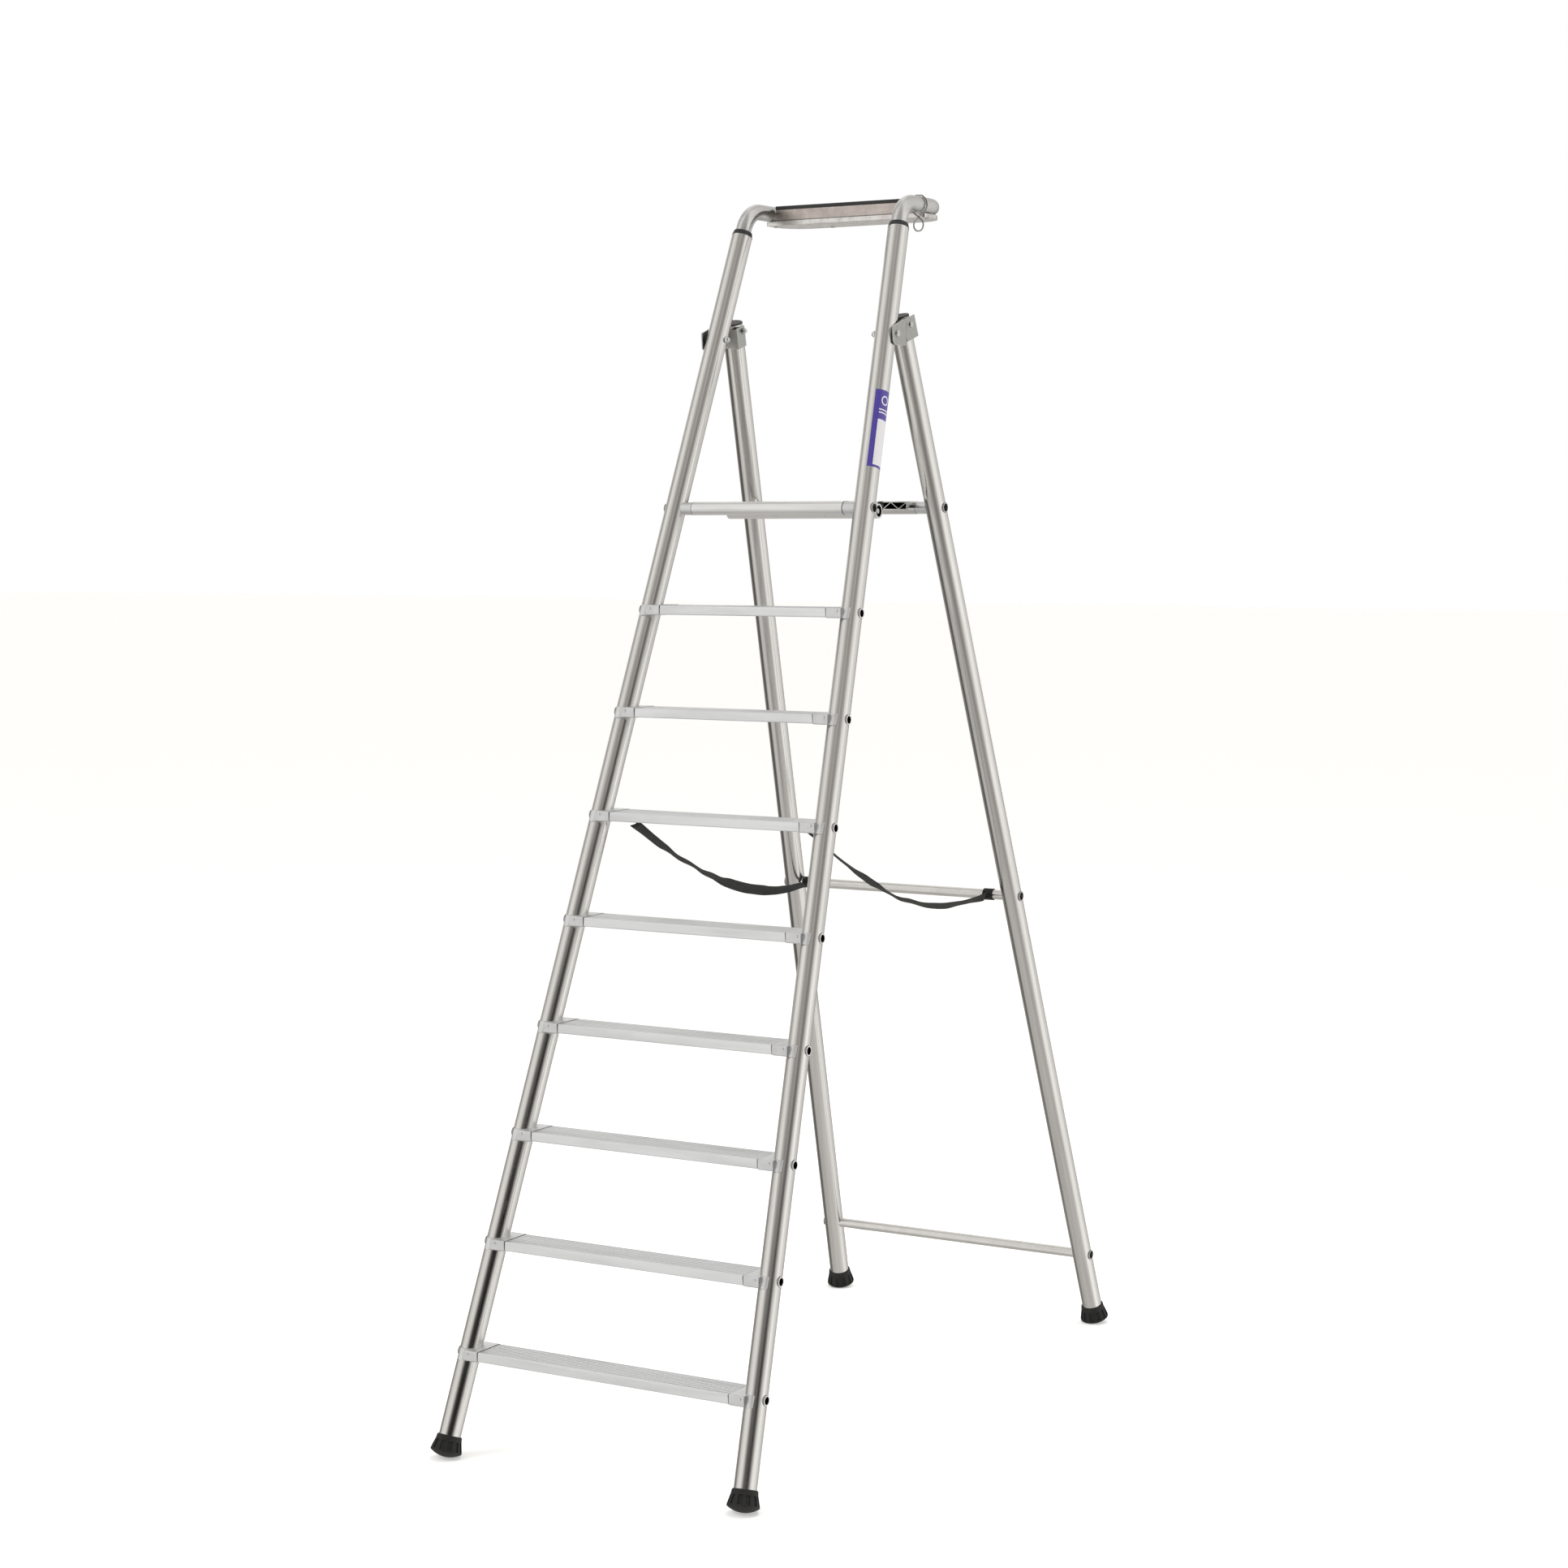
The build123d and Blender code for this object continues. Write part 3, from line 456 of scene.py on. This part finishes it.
def webbing(name, by_uv):
    """Woven polyester: U or X runs across the width, V or Y and Z along it, in metres."""
    n = Nodes(name)
    n.set(Metallic=0.0, Sheen_Weight=0.06, Sheen_Roughness=0.5)
    if by_uv:
        across, along, _ = n.xyz(n.add("ShaderNodeTexCoord").outputs["UV"])
    else:
        across, depth, rise = n.xyz()
        along = n.math("ADD", depth, rise)
    from_middle = n.math("ABSOLUTE", n.math("SUBTRACT", across, STRAP_WIDTH / 2))
    slanted = n.math("ADD", along, from_middle)

    def stripes(value, spacing):
        return n.math("SINE", n.math("MULTIPLY", value, 2 * math.pi / spacing))

    ribs = stripes(across, RIB_SPACING)
    picks = stripes(along, PICK_SPACING)
    herringbone = stripes(slanted, HERRINGBONE_SPACING)
    weave = n.math("ADD", n.math("MULTIPLY", ribs, picks), n.math("MULTIPLY", herringbone, 0.5))
    fuzz = n.noise(n.object_point(), 1500, 3, 0.7)
    wear = n.noise(n.object_point(), 30, 4, 0.6)
    shade = n.mix(n.range(weave, -1.2, 1.2, 0, 1), (0.004, 0.004, 0.0042), (0.012, 0.012, 0.0125))
    shade = n.mix(n.range(wear, 0.5, 0.8, 0, 0.35), shade, (0.028, 0.028, 0.03))
    height = n.math("ADD", weave, n.math("MULTIPLY", fuzz, 0.8))
    n.wire(Base_Color=shade, Roughness=n.range(fuzz, 0.3, 0.7, 0.7, 0.95),
           Normal=n.bump(height, 0.5, 0.0006))
    return n.material


# The sticker's print in its own U and V: a panel, two rules as wide as it, and a ring, whose
# offset in U is scaled so that it is round on the sticker.
PANEL_U, PANEL_V = (0.30, 0.98), (0.03, 0.62)
RULES_V = (0.70, 0.715), (0.74, 0.755)
RING_AT = (0.62, 0.87)
RING_RADII = (0.045, 0.062)
RING_U_SCALE = 0.26


def label_film(name):
    """A printed sticker: violet film, a plain pale panel, two thin rules and a ring."""
    n = Nodes(name)
    n.set(Metallic=0.0, Coat_Weight=0.5, Coat_Roughness=0.15)
    u, v, _ = n.xyz(n.add("ShaderNodeTexCoord").outputs["UV"])
    panel = n.math("MULTIPLY", n.band(u, *PANEL_U), n.band(v, *PANEL_V))
    lower, upper = (n.band(v, *rule) for rule in RULES_V)
    rules = n.math("MULTIPLY", n.band(u, *PANEL_U), n.math("ADD", lower, upper))
    ring_u = n.math("MULTIPLY", n.math("SUBTRACT", u, RING_AT[0]), RING_U_SCALE)
    ring_v = n.math("SUBTRACT", v, RING_AT[1])
    ring = n.band(n.reach(ring_u, ring_v), *RING_RADII)
    white = n.math("MAXIMUM", n.math("MAXIMUM", panel, rules), ring)
    print_noise = n.noise(n.object_point(), 260, 4, 0.6)
    violet = n.mix(n.range(print_noise, 0.3, 0.7, 0, 1), (0.060, 0.040, 0.30), (0.075, 0.05, 0.34))
    shade = n.mix(white, violet, (0.80, 0.79, 0.80))
    n.wire(Base_Color=shade, Roughness=n.range(print_noise, 0.3, 0.7, 0.25, 0.4),
           Normal=n.bump(print_noise, 0.05, 0.0002))
    return n.material


def leg_axis(node):
    """The upward direction of a stile or rear leg, from its box."""
    low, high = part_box(node)
    lean = (high.y - low.y - 2 * TUBE_R) * (1 if node.startswith("stile") else -1)
    splay = (high.x - low.x - 2 * TUBE_R) * (-1 if high.x > 0 else 1)
    return Vector((splay, lean, high.z - low.z)).normalized()


ACROSS = Vector((1, 0, 0))


def finish_node(name, material):
    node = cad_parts[name]
    node.data.materials.clear()
    node.data.materials.append(material)


def dress_frame():
    for name in ("stile_left", "stile_right", "rear_leg_left", "rear_leg_right"):
        finish_node(name, brushed_aluminium(name + "_tube", leg_axis(name)))
    cross = brushed_aluminium("cross_tube", ACROSS, rough=0.24)
    finish_node("platform_sleeve", cross)
    finish_node("tread_tie_tubes", eyed_tube("tie_tube", STILE_HALF, STILE_TAPER, tread_eye))
    bars = (("platform_tie_tube", STILE_HALF, STILE_TAPER), ("crossbar_low", REAR_HALF, REAR_TAPER),
            ("crossbar_middle", REAR_HALF, REAR_TAPER), ("crossbar_platform", REAR_HALF, REAR_TAPER))
    for name, half, taper in bars:
        low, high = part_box(name)
        middle = (low + high) / 2

        def from_middle(n, y, z, at=middle):
            return n.math("SUBTRACT", y, at.y), n.math("SUBTRACT", z, at.z)

        finish_node(name, eyed_tube(name + "_metal", half, taper, from_middle))
    finish_node("handrail", brushed_aluminium("rail_tube", (0, 1, 0.2), (0.78, 0.78, 0.77), 0.3))
    tread = tread_extrusion("tread_extrusion")
    cap = cast_alloy("cast_cap")
    for i in range(1, 9):
        finish_node(f"tread_{i}", tread)
        finish_node(f"tread_caps_{i}", cap)
    for end, rims in (("front", (FRONT_RIM, MIDDLE_RIM)), ("rear", (MIDDLE_RIM, REAR_RIM))):
        low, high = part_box(f"platform_{end}_panel")
        hollow = (low.y + rims[0], high.y - rims[1])
        skin = platform_extrusion(f"platform_{end}_skin", hollow)
        finish_node(f"platform_{end}_panel", skin)
    finish_node("platform_front_spacers", cap)
    finish_node("platform_rear_spacers", cap)
    tray_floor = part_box("tool_tray")[0].z
    finish_node("tool_tray", tray_sheet("tray_metal", tray_floor, (0.66, 0.6, 0.57)))
    zinc = zinc_plate("zinc_bracket")
    for side in ("left", "right"):
        finish_node(f"hinge_bracket_{side}", zinc)
    finish_node("bucket_hook", zinc_plate("hook_wire", (0.27, 0.27, 0.26), 0.3))
    bright = zinc_plate("zinc_fastener", (0.78, 0.78, 0.78), 0.22)
    for name in ("pivot_bolts", "pivot_nuts", "bracket_bolts", "bracket_nuts", "tray_rivets",
                 "tread_cap_rivets", "platform_hinge_pin"):
        finish_node(name, bright)
    plastic = moulded("black_plastic", (0.018, 0.018, 0.018), 0.42, 900, 0.15)
    for name in ("tray_trim", "pivot_spacers", "rear_leg_caps", "stile_collar_left",
                 "stile_collar_right"):
        finish_node(name, plastic)
    rubber = moulded("black_rubber", (0.012, 0.012, 0.012), 0.62, 500, 0.35)
    for side in ("left", "right"):
        for end in ("front", "rear"):
            finish_node(f"foot_{end}_{side}", rubber)


dress_frame()
weave = webbing("strap_webbing", True)
loop_weave = webbing("loop_webbing", False)
sticker = label_film("sticker_film")


# Straps ------------------------------------------------------------------------------------

# Points of each strap from under the sixth tread to the middle rear crossbar, with Y from
# the stiles' middle line at the floor.
ROUTES = {
    "right": [
        (0.238, 0.556, 1.393), (0.240, 0.655, 1.339), (0.242, 0.765, 1.284),
        (0.244, 0.890, 1.227), (0.246, 1.012, 1.187), (0.248, 1.142, 1.161),
        (0.249, 1.282, 1.150), (0.250, 1.417, 1.156),
    ],
    "left": [
        (-0.216, 0.532, 1.393), (-0.223, 0.640, 1.340), (-0.231, 0.760, 1.285),
        (-0.241, 0.890, 1.239), (-0.251, 1.030, 1.194), (-0.260, 1.160, 1.168),
        (-0.267, 1.290, 1.153), (-0.272, 1.417, 1.156),
    ],
}


# How far each strap is turned about its line, in degrees: 0 is edge on from the front right
# of the ladder, 90 is face on from there.
LEVEL_REAR_LEFT = Vector((-0.5, 0.866, 0))
TURNS = {
    "right": [(0, 22), (0.12, 14), (0.22, 20), (0.30, 40), (0.36, 42), (0.42, 22), (0.47, 18),
              (0.54, 38), (0.60, 30), (0.70, 46), (0.78, 50), (0.86, 36), (0.92, 38), (1, 60)],
    "left": [(0, 66), (0.08, 54), (0.15, 52), (0.22, 30), (0.28, 38), (0.36, 24), (0.43, 46),
             (0.47, 44), (0.55, 84), (0.62, 94), (0.68, 122), (0.74, 112), (0.80, 136),
             (0.88, 146), (0.95, 160), (1, 162)],
}


def smooth_line(points, name):
    """Points along the NURBS spline that a strap follows."""
    data = bpy.data.curves.new(name, "CURVE")
    data.dimensions = "3D"
    spline = data.splines.new("NURBS")
    spline.points.add(len(points) - 1)
    for point, place in zip(spline.points, points):
        point.co = (*place, 1)
    spline.order_u = 3
    spline.use_endpoint_u = True
    spline.resolution_u = 14
    holder = bpy.data.objects.new(name, data)
    mesh = bpy.data.meshes.new_from_object(holder)
    line = [v.co.copy() for v in mesh.vertices]
    bpy.data.objects.remove(holder)
    bpy.data.curves.remove(data)
    bpy.data.meshes.remove(mesh)
    return line


def ribbon(name, line, width, thick, twist, cup):
    """A flat woven band along a line, and its length.

    twist(t) is its turn about the line in radians, and cup(t, x) its rise across its width,
    with t from 0 to 1 along it and x from -1 to 1 across it.
    """
    mesh = bpy.data.meshes.new(name)
    bm = bmesh.new()
    uv = bm.loops.layers.uv.new("UVMap")
    half_w, half_t = width / 2, thick / 2
    outline = [(-half_w, -half_t * 0.4), (-half_w * 0.96, -half_t), (-half_w * 0.5, -half_t),
               (0, -half_t), (half_w * 0.5, -half_t), (half_w * 0.96, -half_t),
               (half_w, -half_t * 0.4), (half_w, half_t * 0.4), (half_w * 0.96, half_t),
               (half_w * 0.5, half_t), (0, half_t), (-half_w * 0.5, half_t),
               (-half_w * 0.96, half_t), (-half_w, half_t * 0.4)]
    lengths = [0.0]
    for a, b in zip(line, line[1:]):
        lengths.append(lengths[-1] + (b - a).length)
    rings = []
    for i, point in enumerate(line):
        ahead = (line[min(i + 1, len(line) - 1)] - line[max(i - 1, 0)]).normalized()
        side = (LEVEL_REAR_LEFT - ahead * ahead.dot(LEVEL_REAR_LEFT)).normalized()
        up = side.cross(ahead)
        t = lengths[i] / lengths[-1]
        turn = twist(t)
        across = side * math.cos(turn) + up * math.sin(turn)
        out = ahead.cross(across)
        ring = []
        for x, y in outline:
            ring.append(bm.verts.new(point + across * x + out * (y + cup(t, x / half_w))))
        rings.append(ring)
    count = len(outline)
    for i in range(len(rings) - 1):
        for k in range(count):
            m = (k + 1) % count
            face = bm.faces.new((rings[i][k], rings[i][m], rings[i + 1][m], rings[i + 1][k]))
            face.smooth = True
            ends = ((i, k), (i, m), (i + 1, m), (i + 1, k))
            for loop, (row, column) in zip(face.loops, ends):
                loop[uv].uv = (outline[column][0] + half_w, lengths[row])
    bm.faces.new(list(reversed(rings[0])))
    bm.faces.new(rings[-1])
    bm.to_mesh(mesh)
    bm.free()
    piece = bpy.data.objects.new(name, mesh)
    bpy.context.scene.collection.objects.link(piece)
    return piece, lengths[-1]


def make_strap(side):
    route = [Vector((x, y - MID_DEPTH, z)) for x, y, z in ROUTES[side]]
    line = smooth_line(route, f"strap_line_{side}")
    turns = TURNS[side]

    def twist(t):
        for (t0, a), (t1, b) in zip(turns, turns[1:]):
            if t <= t1:
                step = (t - t0) / (t1 - t0)
                return math.radians(a + (b - a) * step * step * (3 - 2 * step))
        return math.radians(turns[-1][1])

    def cup(t, x):
        return 0.0012 * math.sin(7 * math.pi * t + 1) * (x * x - 0.4)

    piece, length = ribbon(f"strap_webbing_{side}", line, STRAP_WIDTH, STRAP_THICK, twist, cup)
    piece.data.materials.append(weave)
    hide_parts(f"strap_{side}")
    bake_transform(piece)


for side in ("left", "right"):
    make_strap(side)
    finish_node(f"strap_loop_{side}", loop_weave)
    finish_node(f"strap_anchor_{side}", loop_weave)


# Sticker -----------------------------------------------------------------------------------

# Heights of the sticker's ends on the stile's middle line, and its angles round the tube.
LABEL_LOW, LABEL_HIGH = 2.212, 2.390
LABEL_START, LABEL_END = -76.0, 22.0
# Its height off the tube, and the extra curl at its edges.
LABEL_LIFT, LABEL_CURL = 0.00022, 0.00006


def stile_point(z):
    return Vector((STILE_HALF - STILE_TAPER * z, STILE_SLOPE * z - MID_DEPTH, z))


def make_label():
    """A printed sticker wrapped round the outer side of the right stile."""
    low, high = stile_point(LABEL_LOW), stile_point(LABEL_HIGH)
    up = (high - low).normalized()
    east = (Vector((1, 0, 0)) - up * up.x).normalized()
    north = up.cross(east)
    mesh = bpy.data.meshes.new("sticker")
    bm = bmesh.new()
    uv = bm.loops.layers.uv.new("UVMap")
    columns, rows = 28, 40
    grid = []
    for j in range(rows + 1):
        v = j / rows
        row = []
        for i in range(columns + 1):
            u = i / columns
            angle = math.radians(LABEL_START + (LABEL_END - LABEL_START) * u)
            out = east * math.cos(angle) + north * math.sin(angle)
            rim = min(u, 1 - u, v * 4, (1 - v) * 4)
            lift = LABEL_LIFT + LABEL_CURL * math.exp(-rim * 40)
            row.append(bm.verts.new(low.lerp(high, v) + out * (TUBE_R + lift)))
        grid.append(row)
    for j in range(rows):
        for i in range(columns):
            face = bm.faces.new((grid[j][i], grid[j][i + 1], grid[j + 1][i + 1], grid[j + 1][i]))
            face.smooth = True
            for loop, (c, r) in zip(face.loops, ((i, j), (i + 1, j), (i + 1, j + 1), (i, j + 1))):
                loop[uv].uv = (c / columns, r / rows)
    bm.to_mesh(mesh)
    bm.free()
    label = bpy.data.objects.new("sticker", mesh)
    bpy.context.scene.collection.objects.link(label)
    label.data.materials.append(sticker)
    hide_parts("side_label")
    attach(label, "front_frame")


make_label()


# Floor and light ---------------------------------------------------------------------------

FLOOR_REACH = 60


def make_floor():
    mesh = bpy.data.meshes.new("floor")
    corners = [(x * FLOOR_REACH, y * FLOOR_REACH, 0) for x, y in ((-1, -1), (1, -1), (1, 1), (-1, 1))]
    mesh.from_pydata(corners, [], [(0, 1, 2, 3)])
    floor = bpy.data.objects.new("floor", mesh)
    bpy.context.scene.collection.objects.link(floor)
    n = Nodes("floor_paint")
    n.set(Roughness=0.9, Specular_IOR_Level=0.1)
    speckle = n.noise(n.object_point(), 3, 2, 0.5)
    n.wire(Base_Color=n.mix(speckle, (0.88, 0.88, 0.87), (0.9, 0.9, 0.89)))
    n.set(Emission_Color=(1, 1, 0.995), Emission_Strength=0.4)
    mesh.materials.append(n.material)
    floor.visible_glossy = False


def area_light(name, place, target, size, power):
    """A soft rectangular lamp that lights the ladder but isn't seen reflected in it."""
    data = bpy.data.lights.new(name, "AREA")
    data.shape = "RECTANGLE"
    data.size, data.size_y = size
    data.energy = power
    lamp = bpy.data.objects.new(name, data)
    lamp.location = place
    lamp.visible_glossy = False
    lamp.rotation_euler = (Vector(target) - Vector(place)).to_track_quat("-Z", "Y").to_euler()
    bpy.context.scene.collection.objects.link(lamp)


# The studio as polished metal reflects it: rows of soft boxes and dark gaps from the floor
# up, each a list of azimuth in degrees and brightness.
NEAR_FLOOR = [(-180, 0.5), (-157, 0.5), (-113, 0.56), (-60, 0.62), (-25, 0.70), (14, 0.78),
              (37, 0.78), (68, 0.7), (100, 0.6), (130, 0.55), (180, 0.5)]
FAR_FLOOR = [(-180, 0.12), (-160, 0.08), (-140, 0.6), (-122, 0.9), (-100, 0.8), (-80, 0.35),
             (-60, 0.22), (-43, 0.3), (-25, 0.6), (-7, 1.1), (14, 1.1), (37, 0.9), (68, 0.7),
             (100, 0.35), (125, 0.6), (155, 0.3), (180, 0.12)]
LOW_WALL = [(-180, 0.4), (-157, 0.8), (-134, 0.98), (-113, 0.92), (-98, 0.5), (-82, 0.03),
            (-60, 0.0), (-38, 0.01), (-20, 0.4), (-5, 1.0), (14, 1.15), (37, 0.85), (68, 0.7),
            (95, 0.5), (120, 0.9), (150, 0.75), (180, 0.4)]
HIGH_WALL = [(-180, 0.35), (-160, 0.85), (-134, 0.95), (-113, 0.72), (-95, 0.5), (-77, 0.38),
             (-60, 0.56), (-43, 0.34), (-25, 0.44), (-7, 0.9), (14, 0.98), (37, 0.75),
             (68, 0.65), (100, 0.6), (125, 0.95), (150, 0.75), (180, 0.35)]


# Elevations in degrees between which one row passes into the next.
FLOOR_STEP, HORIZON_STEP, WALL_STEP = (-37, -30), (-8, 6), (22, 28)


def make_world():
    """A white backdrop where it is seen directly, and the studio's rows for everything else."""
    world = bpy.data.worlds.new("studio")
    bpy.context.scene.world = world
    world.use_nodes = True
    tree = world.node_tree
    link = tree.links.new
    add = tree.nodes.new
    split = add("ShaderNodeSeparateXYZ")
    link(add("ShaderNodeTexCoord").outputs["Generated"], split.inputs[0])
    azimuth = add("ShaderNodeMath")
    azimuth.operation = "ARCTAN2"
    link(split.outputs[1], azimuth.inputs[0])
    link(split.outputs[0], azimuth.inputs[1])
    place = add("ShaderNodeMapRange")
    link(azimuth.outputs[0], place.inputs["Value"])
    place.inputs["From Min"].default_value = -math.pi
    place.inputs["From Max"].default_value = math.pi

    def tone(level):
        """A grey that gets warmer as it gets darker."""
        warm = 1 - min(level, 1)
        return (level, level * (0.988 - 0.04 * warm), level * (0.965 - 0.075 * warm), 1)

    def row(stops):
        """One row's colour by azimuth."""
        ramp = add("ShaderNodeValToRGB")
        ramp.color_ramp.interpolation = "EASE"
        marks = ramp.color_ramp.elements
        for mark, (angle, level) in zip(marks, (stops[0], stops[-1])):
            mark.position = (angle + 180) / 360
            mark.color = tone(level)
        for angle, level in stops[1:-1]:
            mark = marks.new((angle + 180) / 360)
            mark.color = tone(level)
        link(place.outputs[0], ramp.inputs[0])
        return ramp.outputs[0]

    def step(low, high):
        """0 below the low elevation, 1 above the high one."""
        node = add("ShaderNodeMapRange")
        node.interpolation_type = "SMOOTHSTEP"
        link(split.outputs[2], node.inputs["Value"])
        node.inputs["From Min"].default_value = math.sin(math.radians(low))
        node.inputs["From Max"].default_value = math.sin(math.radians(high))
        return node.outputs[0]

    def blend(factor, a, b):
        node = add("ShaderNodeMix")
        node.data_type = "RGBA"
        link(factor, node.inputs[0])
        link(a, node.inputs[6])
        link(b, node.inputs[7])
        return node.outputs[2]

    studio = blend(step(*FLOOR_STEP), row(NEAR_FLOOR), row(FAR_FLOOR))
    studio = blend(step(*HORIZON_STEP), studio, row(LOW_WALL))
    studio = blend(step(*WALL_STEP), studio, row(HIGH_WALL))
    seen = add("ShaderNodeBackground")
    seen.inputs[0].default_value = (1, 1, 1, 1)
    lit = add("ShaderNodeBackground")
    link(studio, lit.inputs[0])
    choose = add("ShaderNodeMixShader")
    link(add("ShaderNodeLightPath").outputs["Is Camera Ray"], choose.inputs[0])
    link(lit.outputs[0], choose.inputs[1])
    link(seen.outputs[0], choose.inputs[2])
    link(choose.outputs[0], tree.nodes["World Output"].inputs[0])


make_floor()
make_world()
area_light("key", (-4, -5, 6), (0, 0, 1.2), (4, 4), 160)
area_light("top", (1, 1, 7), (0, 0, 1.2), (5, 5), 160)

bpy.context.scene.view_settings.view_transform = "Standard"
